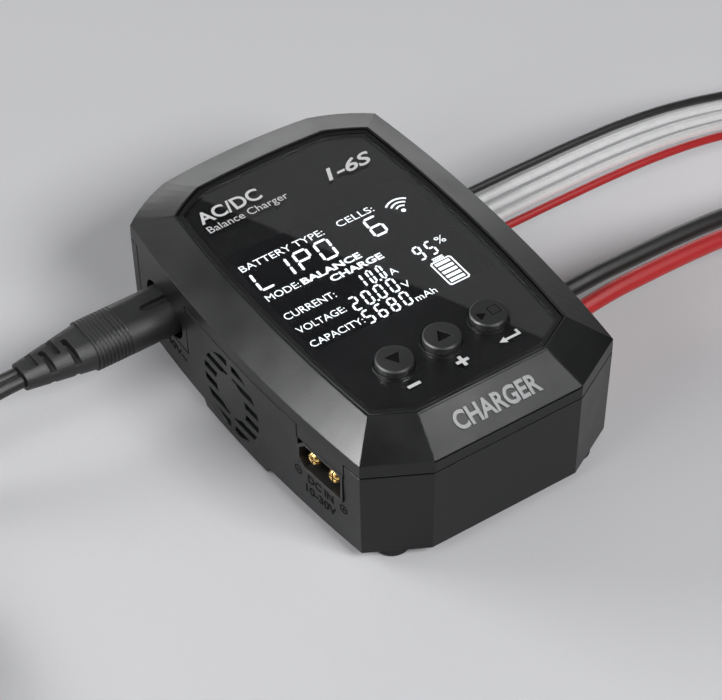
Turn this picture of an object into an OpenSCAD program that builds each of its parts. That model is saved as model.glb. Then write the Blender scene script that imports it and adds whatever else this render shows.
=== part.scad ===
// Balance battery charger: octagonal two-part case, glass top with a display,
// three push buttons, side fan, mains and direct-current inlets, charge leads.
// Millimetres, +Z up, the origin on the table under the middle of the case.

/* [Case] */
// Width of the case across the long sides at their ends
end_w = 70; // [68:0.5:72]
// How far each long side bows outwards at its middle
side_bow = 2.9; // [2.5:0.1:3.2]
// Length of the case
case_l = 111; // [110:0.5:112]
// How far the rear end bows outwards at its middle
rear_bow = 1.2; // [1:0.1:1.4]
// How far each rear corner cut bows outwards at its middle
rear_corner_bow = 0.8; // [0.6:0.1:0.9]
// Corner cut, measured across the width
corner_x = 14.7; // [14:0.1:15]
// Corner cut, measured along the length
corner_y = 8; // [7.5:0.1:8.5]
// Height of the case floor above the table
foot_h = 2.4; // [2.3:0.1:2.6]
// Height of the parting line
split_z = 28.3; // [28:0.1:28.5]
// Height of the lower edge of the sloping facets
band_z = 31.9; // [31.7:0.1:32]
// Height of the ridge around the glass
ridge_z = 36.9; // [36.7:0.1:37]
// Wall thickness of the case
wall = 2; // [1.8:0.1:2.1]
// Inward lean of the side walls from the parting line to the floor
draft = 0.75; // [0.6:0.05:0.8]

/* [Ridge and glass] */
// Width of the ridge outline at its ends
ridge_w = 55; // [54:0.5:55.5]
// Length of the ridge outline
ridge_l = 90; // [89:0.5:91]
// Outward bow of the long ridge sides
ridge_bow = 1.9; // [1.7:0.1:2]
// Outward bow of the ridge at its rear end
ridge_rear_bow = 0.6; // [0.4:0.1:0.7]
// Ridge corner cut across the width
ridge_corner_x = 9.8; // [9.5:0.1:10]
// Ridge corner cut along the length
ridge_corner_y = 5.3; // [5:0.1:5.5]
// Top of the deck that carries the glass
deck_z = 35.2; // [35:0.1:35.3]
// Thickness of the deck
deck_t = 1.5; // [1.4:0.1:1.6]

/* [Buttons] */
// Radius of a button cap
button_r = 4.5; // [4.3:0.1:4.6]
// Height of the top of a button cap
button_top = 38.4; // [38.2:0.1:38.6]
// Spacing of the buttons across the width
button_pitch = 13; // [12.9:0.1:13.1]
// Place of the button row along the length
button_y = -29.5; // [-30:0.1:-29]

/* [Fan] */
// Side of the square fan frame
fan_size = 25; // [24.5:0.5:25]
// Depth of the fan frame
fan_depth = 10; // [9.5:0.5:10]
// Height of the fan axis
fan_z = 14.8; // [14.7:0.1:15]
// Place of the fan axis along the length
fan_y = 1.1; // [1:0.1:1.3]
// Outer radius of the grille
grille_r = 11.4; // [11.2:0.1:11.5]
// Radius of the closed disc in the middle of the grille
grille_disc_r = 6.3; // [6:0.1:6.5]
// Number of fan blades
blade_count = 7; // [5:1:9]

/* [Connectors] */
// Place of the mains inlet along the length
ac_y = 31.5; // [31:0.1:32]
// Height of the mains inlet axis
ac_z = 17.9; // [17.8:0.1:18]
// Place of the direct-current inlet along the length
dc_y = -33.8; // [-34:0.1:-33.6]
// Height of the direct-current inlet axis
dc_z = 19.9; // [19.8:0.1:20]
// Turn of the direct-current inlet, so that its face follows the bowed wall
dc_turn = 5; // [4.5:0.5:5.5]
// Radius of a power pin
power_pin_r = 1.75; // [1.7:0.05:1.8]
// Spacing of the two power pins
power_pitch = 7.2; // [7.1:0.1:7.3]
// Place of the charge output along the length
out_y = -19.6; // [-20:0.1:-19]
// Height of the charge output axis
out_z = 16; // [15.5:0.1:16.5]
// Place of the balance header along the length
bal_y = 13.3; // [13:0.1:13.6]
// Height of the balance header axis
bal_z = 18.5; // [18:0.1:19]

/* [Leads] */
// Width of the flat mains cord
cord_w = 6; // [5.8:0.1:6.2]
// Thickness of the flat mains cord
cord_t = 3.4; // [3.2:0.1:3.6]
// Diameter of a charge wire
power_wire_d = 4.4; // [4.2:0.1:4.5]
// Diameter of a balance wire
sense_wire_d = 2.1; // [2:0.1:2.2]

/* [Hidden] */
$fn = 48;
SMALL = 0.01;
seam = 0.5;
tongue_gap = 0.4;
front_groove = 0.8;
arc_steps = 20;
rear_steps = 12;
corner_steps = 6;
case_plan = [end_w / 2, case_l / 2, corner_x, corner_y, side_bow, rear_bow, rear_corner_bow];
ridge_plan = [
    ridge_w / 2, ridge_l / 2, ridge_corner_x, ridge_corner_y, ridge_bow, ridge_rear_bow, 0.3
];
floor_z = foot_h + 1.8;
base_chamfer = 0.5;
rebate_top = 29.9;
foot_x = 25.5;
foot_y = 46.5;
foot_r = 4.2;
screw_r = 1.3;
boss_r = 3.3;
pin_tail_r = 1.4;
pocket_depth = 12;
facet_run = (case_l - ridge_l) / 2;
facet_rise = ridge_z - band_z;
facet_slope = norm([facet_run, facet_rise]);
facet_angle = atan2(facet_rise, facet_run);
trim_t = 0.8;
glass_inset = 1.95;
lcd_size = [50.4, 38.4];
lcd_y = 2.9;
board_z = 7.4;
board_t = 1.6;
board_top = board_z + board_t;
control_z = 27;
control_top = control_z + board_t;
switch_top = 30.9;
plunger_top = 31.6;
fan_x = -34.7;
// Tongues of the upper shell: [y from, y to, lowest z]
ac_tongue = [20.6, 44.1, 12.9];
dc_tongue = [dc_y - 8.1, dc_y + 8.1, dc_z + 4.25];
plug_body = [14.2, 9];
plug_end_x = -58;
relief_end_x = -75.5;
coil_centre = [-161, -7.5];
coil_mid_r = [27, 33, 39];
coil_inner_r = coil_mid_r[0] - cord_w / 2;
coil_outer_r = coil_mid_r[2] + cord_w / 2;
// Route of the mains cord from the strain relief to the coil
lead_route = [
    [-75.5, 31.5, 17.9], [-80, 31.5, 17.8], [-86, 31.5, 17.2], [-92, 31.5, 15.8],
    [-98, 31.5, 13.6], [-104, 31.5, 11], [-110, 31.5, 8.2], [-116, 31.5, 5.8],
    [-122, 31.5, 4.1], [-128, 31.5, 3.3], [-134, 31.5, 3], [-143, 31.5, 3],
    [-152, 31.5, 3], [-161, 31.5, 3]
];
// Route of the mains cord from the coil to the wall plug
tail_route = [
    [-161, 28.5, 9], [-167, 28.5, 9], [-173, 28.5, 9], [-179, 28.5, 9],
    [-185, 28.5, 8.9], [-191, 28.5, 8.4], [-197, 28.5, 7.6], [-203, 28.5, 7.1],
    [-209, 28.5, 7]
];
wall_plug_at = [-209.5, 28.5, 7];
// Route of one charge wire, as [x, sideways share, z]
power_route = [
    [44, 1, 16], [50, 0.93, 16.6], [56, 0.9, 17], [64, 0.88, 17], [72, 0.87, 16.9],
    [80, 0.87, 16.6], [88, 0.87, 16], [96, 0.87, 15], [104, 0.88, 13.6], [112, 0.88, 11.8],
    [120, 0.9, 9.8], [128, 0.92, 7.8], [136, 0.94, 6.1], [144, 0.97, 4.9], [151, 0.99, 4.3],
    [158, 1, 4.15]
];
// Route of one balance wire, as [x, sideways share, z]
sense_route = [
    [42, 1, 18.5], [50, 1, 18.5], [58, 1, 18.5], [66, 1, 18.4], [74, 1, 18.3], [82, 1, 18],
    [90, 1, 17.5], [98, 1, 16.6], [106, 1, 15.3], [114, 1, 13.5], [122, 1, 11.3],
    [130, 1, 8.8], [138, 0.99, 6.4], [146, 0.93, 4.4], [153, 0.78, 3.1], [159, 0.64, 2.6]
];
power_half = 3.6;
sense_half = 7.5;
power_lead_end = 158;
sense_lead_end = 159;
sense_mid_y = bal_y + 2.5;

// Octagon set in by d, as points at height z; its long sides, rear end and rear corners bow.
// plan = [half width, half length, corner x, corner y, side bow, rear bow, rear corner bow]
function cut_line(plan, d) =
    (plan[3] * plan[0] + plan[2] * (plan[1] - plan[3])) - norm([plan[2], plan[3]]) * d;
function cut_x(plan, d) = (cut_line(plan, d) - plan[2] * (plan[1] - d)) / plan[3];
function cut_y(plan, d) = (cut_line(plan, d) - plan[3] * (plan[0] - d)) / plan[2];
function bowed_side(plan, d, z, side) = [
    for (i = [0:arc_steps])
        let (t = 2 * i / arc_steps - 1, y = cut_y(plan, d) * t)
            [side * (plan[0] - d + plan[4] * (1 - t * t)), side * y, z]
];
// Points between two ends, pushed outwards by h in the middle; the ends themselves are left out
function bowed_cut(a, b, h, steps) =
    let (along = b - a, out = [along[1], -along[0], 0] / norm(along))
        [for (i = [1:steps - 1]) let (t = i / steps) a + along * t + out * h * 4 * t * (1 - t)];
function rear(plan, d, z) =
    let (
        right = [plan[0] - d, cut_y(plan, d), z],
        rear_right = [cut_x(plan, d), plan[1] - d, z],
        rear_left = [-rear_right[0], rear_right[1], z],
        left = [-right[0], right[1], z]
    )
    concat(
        bowed_cut(right, rear_right, plan[6], corner_steps), [rear_right],
        bowed_cut(rear_right, rear_left, plan[5], rear_steps), [rear_left],
        bowed_cut(rear_left, left, plan[6], corner_steps)
    );
function outline(plan, d, z) = concat(
    bowed_side(plan, d, z, 1),
    rear(plan, d, z),
    bowed_side(plan, d, z, -1),
    [[-cut_x(plan, d), d - plan[1], z], [cut_x(plan, d), d - plan[1], z]]
);
// Where the left wall's outer face stands at a place along the length
function wall_x(y) = -(end_w / 2 + side_bow * (1 - pow(y / (case_l / 2 - corner_y), 2)));

// Closed solid through a stack of rings that have the same number of points
module loft(rings) {
    n = len(rings[0]);
    m = len(rings);
    sides = [
        for (k = [0:m - 2], i = [0:n - 1])
            [k * n + i, (k + 1) * n + i, (k + 1) * n + (i + 1) % n, k * n + (i + 1) % n]
    ];
    polyhedron(
        points = [for (ring = rings, p = ring) p],
        faces = concat(
            [[for (i = [0:n - 1]) i]],
            sides,
            [[for (i = [n - 1:-1:0]) (m - 1) * n + i]]
        )
    );
}

// Prism of the outline between two heights
module plan_prism(plan, d, z0, z1) {
    translate([0, 0, z0])
        linear_extrude(z1 - z0)
            polygon([for (p = outline(plan, d, 0)) [p[0], p[1]]]);
}

module box(low, high) {
    translate(low) cube(high - low);
}

// Slot shape with round ends, w along X and h along Y
module stadium(w, h) {
    square([w - h, h], center = true);
    for (s = [-1, 1])
        translate([s * (w - h) / 2, 0]) circle(d = h);
}

// Carries a flat shape so that it runs along X: its first axis lies along Y
module along_x(x, y, z, length) {
    translate([x, y, z]) rotate([90, 0, 90]) linear_extrude(length) children();
}

module x_rod(x, y, z, r, length) {
    translate([x, y, z]) rotate([0, 90, 0]) cylinder(r = r, h = length);
}

module at_corners(x, y) {
    for (sx = [-1, 1], sy = [-1, 1])
        translate([sx * x, sy * y, 0]) children();
}

// Tube swept along a route; the section is an ellipse of width w and thickness t
function unit(v) = v / norm(v);
function heading(route, i) =
    unit(route[min(i + 1, len(route) - 1)] - route[max(i - 1, 0)]);
function section_ring(route, i, w, t, sides) =
    let (f = heading(route, i), side = unit(cross([0, 0, 1], f)), up = cross(f, side))
        [for (k = [0:sides - 1])
            route[i] + side * cos(360 * k / sides) * w / 2 + up * sin(360 * k / sides) * t / 2];

module swept_tube(route, w, t, sides) {
    loft([for (i = [0:len(route) - 1]) section_ring(route, i, w, t, sides)]);
}

// ---- case ----

module lower_outer() {
    loft([
        outline(case_plan, draft + base_chamfer, foot_h),
        outline(case_plan, draft, foot_h + base_chamfer),
        outline(case_plan, 0, split_z)
    ]);
}

module lower_cavity() {
    loft([
        outline(case_plan, draft + wall, floor_z),
        outline(case_plan, wall, split_z + 3)
    ]);
}

module tongue_box(span, gap) {
    box([-end_w, span[0] - gap, span[2] - gap], [-end_w / 4, span[1] + gap, split_z + 3]);
}

module ac_opening() {
    along_x(-end_w, ac_y, ac_z, end_w - 33) stadium(17.8, 9.9);
}

module dc_frame() {
    translate([wall_x(dc_y), dc_y, dc_z]) rotate([0, 0, dc_turn]) children();
}

// Hole in the wall around a power connector of the given clearance
module dc_opening() {
    dc_frame() box([-6, -8.1, -4.25], [10, 8.1, 4.25]);
}

// Round grille: slots along the wall, clipped to a ring and split by a spoke
module grille_cut() {
    pitch = 4;
    slot_h = 2.1;
    spoke = 1.9;
    intersection() {
        for (row = [-2.5:1:2.5], s = [-1, 1])
            box(
                [-end_w, fan_y + (s < 0 ? -20 : spoke / 2), fan_z + row * pitch - slot_h / 2],
                [fan_x, fan_y + (s < 0 ? -spoke / 2 : 20), fan_z + row * pitch + slot_h / 2]
            );
        difference() {
            x_rod(-end_w, fan_y, fan_z, grille_r, end_w);
            x_rod(-end_w, fan_y, fan_z, grille_disc_r, end_w);
        }
    }
}

// The floor drops here to make room for the fan frame
module fan_bump() {
    intersection() {
        translate([-end_w, fan_y, 0])
            rotate([90, 0, 90])
                linear_extrude(end_w - 21)
                    polygon([[-15, 4], [-13, 0.3], [12.8, 0.3], [14.2, 4]]);
        loft([outline(case_plan, draft + base_chamfer, 0), outline(case_plan, draft, 5)]);
    }
}

module exhaust_cut() {
    for (i = [0:6])
        box([end_w / 4, 27 + i * 2.8, 9], [end_w, 28.5 + i * 2.8, 23]);
}

module output_opening() {
    box([end_w / 4, out_y - 8.3, out_z - 4.45], [end_w, out_y + 8.3, out_z + 4.45]);
}

module balance_opening() {
    box([end_w / 4, bal_y - 10.1, bal_z - 3.1], [end_w, bal_y + 10.1, bal_z + 3.1]);
}

power_bosses = [[29, 40], [29, -33], [-14, 48], [-27, -19]];

module bottom_housing() {
    color([0.25, 0.25, 0.27])
        difference() {
            union() {
                difference() {
                    lower_outer();
                    lower_cavity();
                    box([-end_w, -case_l, split_z - seam], [end_w, case_l, split_z + 1]);
                }
                fan_bump();
                // lip that locates the upper shell
                difference() {
                    plan_prism(case_plan, wall - 0.8, split_z - 3, rebate_top - 0.3);
                    plan_prism(case_plan, wall, split_z - 4, rebate_top);
                    difference() {
                        box([-end_w, -case_l, 0], [end_w, case_l, split_z - seam - SMALL]);
                        lower_cavity();
                    }
                }
                intersection() {
                    at_corners(foot_x, foot_y) cylinder(r = 4.2, h = 18);
                    lower_outer();
                }
                for (p = power_bosses)
                    translate([p[0], p[1], floor_z - 1]) cylinder(r = 3, h = board_z - floor_z + 1);
            }
            box([-36.2, fan_y - fan_size / 2 - 0.3, 1.9], [-24.5, fan_y + fan_size / 2 + 0.3, 6]);
            tongue_box(ac_tongue, tongue_gap);
            tongue_box(dc_tongue, tongue_gap);
            ac_opening();
            dc_opening();
            grille_cut();
            exhaust_cut();
            output_opening();
            balance_opening();
            at_corners(foot_x, foot_y) {
                cylinder(r = 3, h = 5);
                cylinder(r = screw_r + 0.3, h = 20);
                translate([0, 0, 18.1]) cylinder(r = boss_r + 0.3, h = 20);
            }
            for (p = power_bosses)
                translate([p[0], p[1], floor_z]) cylinder(r = 1.1, h = 10);
        }
}

module upper_outer() {
    loft([
        outline(case_plan, 0, split_z),
        outline(case_plan, 0, band_z),
        outline(ridge_plan, 0, ridge_z)
    ]);
}

module upper_cavity() {
    loft([
        outline(case_plan, wall, split_z - 1),
        outline(case_plan, wall, band_z - 1.4),
        outline(ridge_plan, 1, deck_z - deck_t)
    ]);
}

module facet_frame() {
    translate([0, -case_l / 2, band_z]) rotate([facet_angle, 0, 0]) children();
}

// Outline of the front facet in its own plane, set in at its two slanted sides
module facet_shape(gap) {
    low = cut_x(case_plan, 0) - gap;
    high = cut_x(ridge_plan, 0) - gap;
    polygon([[-low, 0], [low, 0], [high, facet_slope - 0.5], [-high, facet_slope - 0.5]]);
}

deck_bosses = [[20, 31], [-20, 31], [20, -38], [-20, -38]];

module top_housing() {
    color([0.27, 0.27, 0.29])
        difference() {
            union() {
                difference() {
                    upper_outer();
                    upper_cavity();
                }
                for (span = [ac_tongue, dc_tongue])
                    intersection() {
                        difference() {
                            lower_outer();
                            lower_cavity();
                        }
                        tongue_box(span, 0);
                    }
                at_corners(foot_x, foot_y)
                    translate([0, 0, 18.2]) cylinder(r = boss_r, h = 14);
                for (p = deck_bosses)
                    translate([p[0], p[1], control_top])
                        cylinder(r = 2.2, h = deck_z - control_top - 0.5);
            }
            // rebate for the lip of the lower shell, closed where the tongues are
            difference() {
                plan_prism(case_plan, wall - 1.1, split_z - 1, rebate_top);
                tongue_box(ac_tongue, 0);
                tongue_box(dc_tongue, 0);
                at_corners(foot_x, foot_y) cylinder(r = boss_r, h = 40);
            }
            plan_prism(ridge_plan, 0.45, deck_z, ridge_z + 1);
            box(
                [-lcd_size[0] / 2 - 0.3, lcd_y - lcd_size[1] / 2 - 0.3, deck_z - 4],
                [lcd_size[0] / 2 + 0.3, lcd_y + lcd_size[1] / 2 + 0.3, deck_z + 1]
            );
            for (i = [-1:1])
                translate([i * button_pitch, button_y, deck_z - 3])
                    cylinder(r = button_r + 0.3, h = 5);
            facet_frame() translate([0, 0, -trim_t]) linear_extrude(3) facet_shape(0);
            box(
                [-cut_x(case_plan, 0), -case_l, band_z - front_groove],
                [cut_x(case_plan, 0), 1.2 - case_l / 2, band_z]
            );
            ac_opening();
            at_corners(foot_x, foot_y) cylinder(r = screw_r, h = 27);
            for (p = deck_bosses)
                translate([p[0], p[1], 0]) cylinder(r = 0.9, h = deck_z - 0.8);
        }
}

module front_trim_plate() {
    color([0.32, 0.32, 0.34])
        facet_frame() translate([0, 0, -trim_t]) linear_extrude(trim_t) facet_shape(0.06);
}

module display_bezel() {
    color([0.3, 0.3, 0.32])
        difference() {
            loft([
                outline(ridge_plan, 0.7, deck_z),
                outline(ridge_plan, 0.7, ridge_z - 0.45),
                outline(ridge_plan, 0.9, ridge_z - 0.2)
            ]);
            plan_prism(ridge_plan, glass_inset - 0.15, deck_z - 1, ridge_z + 1);
        }
}

module glass_panel() {
    color([0.03, 0.03, 0.04])
        difference() {
            plan_prism(ridge_plan, glass_inset, deck_z + 0.1, ridge_z - 0.4);
            for (i = [-1:1])
                translate([i * button_pitch, button_y, 30]) cylinder(r = button_r + 0.25, h = 10);
        }
}

module lcd_panel() {
    color([0.1, 0.1, 0.12])
        translate([0, lcd_y, deck_z - 0.95])
            linear_extrude(1.9, center = true)
                square(lcd_size, center = true);
}

module lcd_backlight() {
    color("white")
        translate([0, lcd_y, 31.6])
            linear_extrude(3.2, center = true)
                square([52, 41], center = true);
}

// ---- control board, switches and buttons ----

module control_board() {
    color("darkgreen")
        difference() {
            plan_prism(ridge_plan, 3, control_z, control_top);
            box([-end_w, fan_y - 13.1, 0], [fan_x + fan_depth + 0.6, fan_y + 13.1, 40]);
            for (p = deck_bosses)
                translate([p[0], p[1], control_z - 1]) cylinder(r = 1.1, h = 4);
        }
}

module microcontroller() {
    color([0.1, 0.1, 0.1])
        translate([6, -12, control_z - 1.4]) {
            cube([9, 9, 1.4]);
            for (i = [0:7]) {
                translate([0.8 + i, -0.8, 1.1]) cube([0.4, 10.6, 0.3]);
                translate([-0.8, 0.8 + i, 1.1]) cube([10.6, 0.4, 0.3]);
            }
        }
}

module switch_bodies() {
    color("silver")
        for (i = [-1:1])
            translate([i * button_pitch, button_y, control_top])
                difference() {
                    translate([-3, -3, 0]) cube([6, 6, switch_top - control_top]);
                    translate([0, 0, 0.9]) cylinder(r = 1.9, h = 3);
                }
}

module plunger(i) {
    color("orange")
        translate([i * button_pitch, button_y, 30.3]) cylinder(r = 1.7, h = plunger_top - 30.3);
}

// Cap with a retaining flange below the deck and a stem on the switch plunger
module button(i) {
    translate([i * button_pitch, button_y, 0])
        difference() {
            rotate_extrude()
                polygon([
                    [0, plunger_top], [2.2, plunger_top], [2.2, 32.3], [5.4, 32.3], [5.4, 33.4],
                    [button_r, 33.4], [button_r, button_top - 0.35], [button_r - 0.35, button_top],
                    [0, button_top]
                ]);
            translate([0, 0, button_top - 0.3]) linear_extrude(1) children();
        }
}

module minus_plunger() {
    plunger(-1);
}

module plus_plunger() {
    plunger(0);
}

module enter_plunger() {
    plunger(1);
}

module minus_button() {
    color([0.35, 0.35, 0.37]) button(-1) polygon([[-2, 1.4], [2, 1.4], [0, -2]]);
}

module plus_button() {
    color([0.35, 0.35, 0.37]) button(0) polygon([[-2, -1.4], [2, -1.4], [0, 2]]);
}

module enter_button() {
    color([0.35, 0.35, 0.37])
        button(1) {
            polygon([[-3, -1.4], [-3, 1.4], [-0.5, 0]]);
            difference() {
                translate([0.1, -1.4]) square([2.8, 2.8]);
                translate([0.5, -1]) square([2, 2]);
            }
        }
}

// ---- power board and what stands on it ----

capacitor_places = [[-8, -47], [1.5, -47], [11, -47], [22, -39]];
transistor_places = [-12, -1, 10];

module power_board() {
    color("darkgreen")
        difference() {
            plan_prism(case_plan, 4, board_z, board_top);
            box([-end_w, fan_y - 13.5, 0], [-24, fan_y + 13.5, 20]);
            at_corners(foot_x, foot_y) cylinder(r = 4.8, h = 20);
            for (p = power_bosses)
                translate([p[0], p[1], 0]) cylinder(r = 1.4, h = 20);
            for (p = capacitor_places)
                translate([p[0], p[1], 0]) cylinder(r = 0.6, h = 20);
            for (x = transistor_places)
                box([x + 1.6, -15.7, 0], [x + 8, -14.5, 20]);
        }
}

module board_screw(head_up) {
    s = head_up ? 1 : -1;
    mirror([0, 0, head_up ? 0 : 1]) {
        cylinder(r = 2.1, h = 1.4);
        translate([0, 0, -4.2]) cylinder(r = s > 0 ? 1.05 : 0.85, h = 4.3);
    }
}

module board_screws() {
    color("silver") {
        for (p = power_bosses)
            translate([p[0], p[1], board_top]) board_screw(true);
        for (p = deck_bosses)
            translate([p[0], p[1], control_z]) board_screw(false);
    }
}

module case_screws() {
    color("silver")
        at_corners(foot_x, foot_y)
            difference() {
                union() {
                    translate([0, 0, 3]) cylinder(r = 2.6, h = 2);
                    translate([0, 0, 4.9]) cylinder(r = screw_r - 0.03, h = 21);
                }
                translate([-2, -0.35, 2]) cube([4, 0.7, 1.9]);
                translate([-0.35, -2, 2]) cube([0.7, 4, 1.9]);
            }
}

module rubber_feet() {
    color([0.08, 0.08, 0.08])
        at_corners(foot_x, foot_y)
            rotate_extrude()
                polygon([
                    [0, 0], [foot_r - 0.5, 0], [foot_r, 0.5], [foot_r, foot_h], [0, foot_h]
                ]);
}

module insulation_sheet() {
    color([0.2, 0.3, 0.35])
        difference() {
            plan_prism(case_plan, 6, board_z - 0.8, board_z - 0.4);
            box([-end_w, -case_l, 0], [end_w, 16, 20]);
            at_corners(foot_x, foot_y) cylinder(r = 5.2, h = 20);
            for (p = power_bosses)
                translate([p[0], p[1], 0]) cylinder(r = 3.4, h = 20);
        }
}

module transformer_core() {
    color([0.2, 0.2, 0.22])
        translate([-5, 35.2, board_top]) {
            for (z = [0.4, 12.6])
                translate([-13, -10, z]) cube([26, 20, 3]);
            translate([0, 0, 3]) cylinder(r = 4.5, h = 10);
            for (s = [-1, 1])
                translate([s * 11.5 - 1.5, -10, 3]) cube([3, 20, 10]);
        }
}

module transformer_winding() {
    color("gold")
        translate([-5, 35.2, board_top + 3.5])
            difference() {
                cylinder(r = 9.6, h = 9);
                translate([0, 0, -1]) cylinder(r = 4.7, h = 12);
            }
}

module bulk_capacitor() {
    color([0.12, 0.16, 0.3])
        translate([18, 14.5, board_top + 7.4]) rotate([-90, 0, 0]) {
            cylinder(r = 7.2, h = 25);
            for (s = [-1, 1])
                translate([s * 2.5, 0, -2]) cylinder(r = 0.4, h = 2.1);
        }
}

module output_capacitors() {
    color([0.12, 0.16, 0.3])
        for (p = capacitor_places)
            translate([p[0], p[1], board_top]) {
                cylinder(r = 4, h = 12);
                translate([0, 0, -2.4]) cylinder(r = 0.4, h = 2.5);
            }
}

module toroid(ring_r, wire_r) {
    translate([0, 0, wire_r]) rotate_extrude() translate([ring_r, 0]) circle(r = wire_r);
}

module line_choke() {
    color("brown") translate([-13, 15, board_top]) toroid(5.5, 3);
}

module power_inductors() {
    color("goldenrod")
        for (p = [[-8, -32], [9, -32]])
            translate([p[0], p[1], board_top]) toroid(5, 2.8);
}

module fuse() {
    color("white")
        translate([-20, 2, board_top]) {
            for (x = [0, 15])
                translate([x, -2.2, 0]) cube([3, 4.4, 1.2]);
            x_rod(0, 0, 3.2, 2.2, 18);
        }
}

module heatsink() {
    color("silver")
        translate([-14, -13, board_top]) {
            cube([32, 2.5, 15]);
            for (i = [0:7])
                translate([i * 4.3, 2.4, 0]) cube([1.4, 7, 15]);
        }
}

module power_transistors() {
    color([0.12, 0.12, 0.12])
        for (x = transistor_places)
            translate([x, -17.4, board_top]) {
                translate([0, 0, 3]) cube([9.6, 4.4, 10]);
                for (i = [0:2])
                    translate([1.9 + i * 2.5, 2, -1.4]) cube([0.8, 0.6, 4.5]);
            }
}

module board_connector() {
    color([0.1, 0.1, 0.1])
        translate([0, 7, board_top]) {
            cube([16, 5, 8.6]);
            translate([0, 0, 8.8]) cube([16, 5, control_z - board_top - 8.8]);
        }
}

module buzzer() {
    color([0.08, 0.08, 0.08])
        translate([24, -4, board_top])
            difference() {
                cylinder(r = 4.8, h = 6.5);
                translate([0, 0, 5.5]) cylinder(r = 1.4, h = 2);
            }
}

// ---- fan ----

module fan_frame() {
    hub_x = fan_x + fan_depth - 1.5;
    color([0.15, 0.15, 0.16]) {
        difference() {
            box(
                [fan_x, fan_y - fan_size / 2, fan_z - fan_size / 2],
                [fan_x + fan_depth, fan_y + fan_size / 2, fan_z + fan_size / 2]
            );
            x_rod(fan_x - 1, fan_y, fan_z, 11.7, fan_depth + 2);
        }
        x_rod(hub_x, fan_y, fan_z, 5.6, 1.5);
        for (a = [45:90:315])
            translate([hub_x, fan_y, fan_z])
                rotate([a, 0, 0]) translate([0, -0.9, 5]) cube([1.5, 1.8, 7]);
    }
}

module fan_stator() {
    color("brown")
        translate([fan_x + 3.2, fan_y, fan_z])
            difference() {
                union() {
                    x_rod(0, 0, 0, 1.8, 5.3);
                    for (a = [0:90:270])
                        rotate([a, 0, 0]) translate([1, -1.3, 0]) cube([3.6, 2.6, 4]);
                }
                x_rod(-1, 0, 0, 1.05, 8);
            }
}

module fan_rotor() {
    color([0.12, 0.12, 0.13])
        translate([fan_x, fan_y, fan_z]) {
            difference() {
                x_rod(0.8, 0, 0, 5.5, 7);
                x_rod(1.8, 0, 0, 4.7, 8);
            }
            x_rod(1.5, 0, 0, 1, 6.8);
            intersection() {
                for (i = [0:blade_count - 1])
                    rotate([i * 360 / blade_count, 0, 0])
                        translate([4.3, 0, 5.2])
                            rotate([0, 0, 38]) translate([-3.6, -0.4, 0]) cube([7.2, 0.8, 6.5]);
                x_rod(0.9, 0, 0, 11.1, 6.9);
            }
        }
}

// ---- connectors ----

module ac_inlet_body() {
    color([0.1, 0.1, 0.1])
        difference() {
            box([-32.6, ac_y - 10.2, board_top], [-21.5, ac_y + 10.2, 24.2]);
            along_x(-34, ac_y, ac_z, 8) stadium(15.2, 9.8);
            for (s = [-1, 1])
                x_rod(-27, ac_y + s * 4.3, ac_z, 1.2, 8);
        }
}

module ac_inlet_pins() {
    color("silver")
        for (s = [-1, 1])
            x_rod(-32, ac_y + s * 4.3, ac_z, 1.2, 10.5);
}

// Outline of a two-pole power connector: one end has its corners cut
module power_outline(w, h, cut) {
    polygon([
        [-w / 2, -h / 2], [w / 2 - cut, -h / 2], [w / 2, cut - h / 2],
        [w / 2, h / 2 - cut], [w / 2 - cut, h / 2], [-w / 2, h / 2]
    ]);
}

// Shell with a deep pocket that opens towards -X
module power_shell(length, drop) {
    difference() {
        union() {
            along_x(0, 0, 0, length) power_outline(15.9, 8.2, 2);
            translate([pocket_depth + 0.5, -6, -drop]) cube([length - pocket_depth - 0.5, 12, drop]);
        }
        along_x(-1, 0, 0, pocket_depth + 1) power_outline(14.6, 7, 1.9);
        for (s = [-1, 1])
            x_rod(pocket_depth - 1, s * power_pitch / 2, 0, pin_tail_r, length);
    }
}

// Two split pins, their tips just inside the mouth, thinner where the shell holds them
module power_pins(tip, length) {
    free = pocket_depth - 0.3 - tip;
    for (s = [-1, 1])
        translate([tip, s * power_pitch / 2, 0])
            difference() {
                rotate([0, 90, 0])
                    rotate_extrude()
                        polygon([
                            [0, 0], [power_pin_r - 0.45, 0], [power_pin_r, 0.6],
                            [power_pin_r, free], [pin_tail_r, free], [pin_tail_r, length],
                            [0, length]
                        ]);
                translate([-1, -0.22, -3]) cube([6.5, 0.44, 6]);
                translate([-1, -3, -0.22]) cube([6.5, 6, 0.44]);
            }
}

module dc_inlet_body() {
    color([0.1, 0.1, 0.1]) dc_frame() power_shell(16, dc_z - board_top);
}

module dc_inlet_pins() {
    color("gold") dc_frame() power_pins(0.8, 16.5);
}

module out_frame() {
    translate([37.2, out_y, out_z]) rotate([0, 0, 180]) children();
}

module output_socket_body() {
    color([0.1, 0.1, 0.1]) out_frame() power_shell(16, out_z - board_top);
}

module output_socket_pins() {
    color("gold") out_frame() power_pins(1.5, 15.8);
}

module balance_header() {
    color("ivory")
        difference() {
            union() {
                box([27, bal_y - 9.9, bal_z - 2.9], [37, bal_y + 9.9, bal_z + 2.9]);
                box([27, bal_y - 9.9, board_top], [31, bal_y + 9.9, bal_z]);
            }
            box([29.5, bal_y - 8.9, bal_z - 2.2], [38, bal_y + 8.9, bal_z + 2.2]);
            for (i = [-3:3])
                box([26, bal_y + i * 2.5 - 0.32, bal_z - 0.32], [30, bal_y + i * 2.5 + 0.32, bal_z + 0.32]);
        }
}

module balance_pins() {
    color("silver")
        for (i = [-3:3])
            box([26, bal_y + i * 2.5 - 0.32, bal_z - 0.32], [36, bal_y + i * 2.5 + 0.32, bal_z + 0.32]);
}

// ---- mains lead ----

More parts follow.
